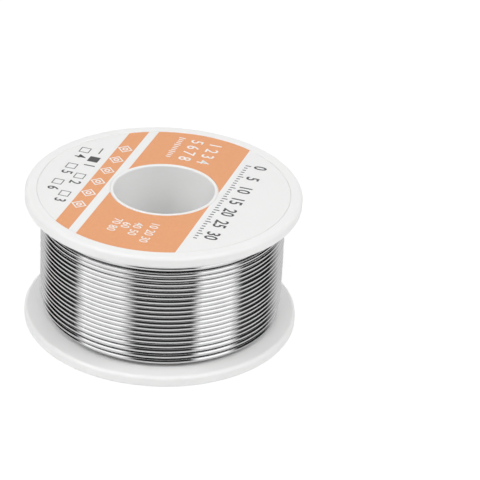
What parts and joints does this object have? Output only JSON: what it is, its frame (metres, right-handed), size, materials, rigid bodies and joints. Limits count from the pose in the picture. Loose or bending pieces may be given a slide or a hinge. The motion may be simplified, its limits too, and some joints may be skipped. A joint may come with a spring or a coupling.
{
  "type": "solder wire spool",
  "caption": "Flanged plastic spool wound full with bright flux cored solder wire, with a round label in its front recess and a plain spindle bore through the hub.",
  "frame": {"origin": "middle of the rear flange's outer face, which the spool rests on", "axes": "+Z along the spindle bore, towards the labelled flange; the spool is round about Z, and the wire's first turn leaves the barrel at +X"},
  "size_m": [0.055, 0.055, 0.029],
  "materials": {
    "spool_plastic": "white moulded polystyrene, satin",
    "label_paper": "coated paper printed with orange bands on white",
    "solder": "bright drawn tin and lead solder wire",
    "flux": "amber rosin"
  },
  "bodies": {
    "root": {"spool_front_half": "spool_plastic", "spool_rear_half": "spool_plastic", "label": "label_paper", "wire_start": "solder", "wire_inner_layers": "solder", "wire_outer_layer": "solder", "flux_core": "flux"}
  },
  "joints": []
}
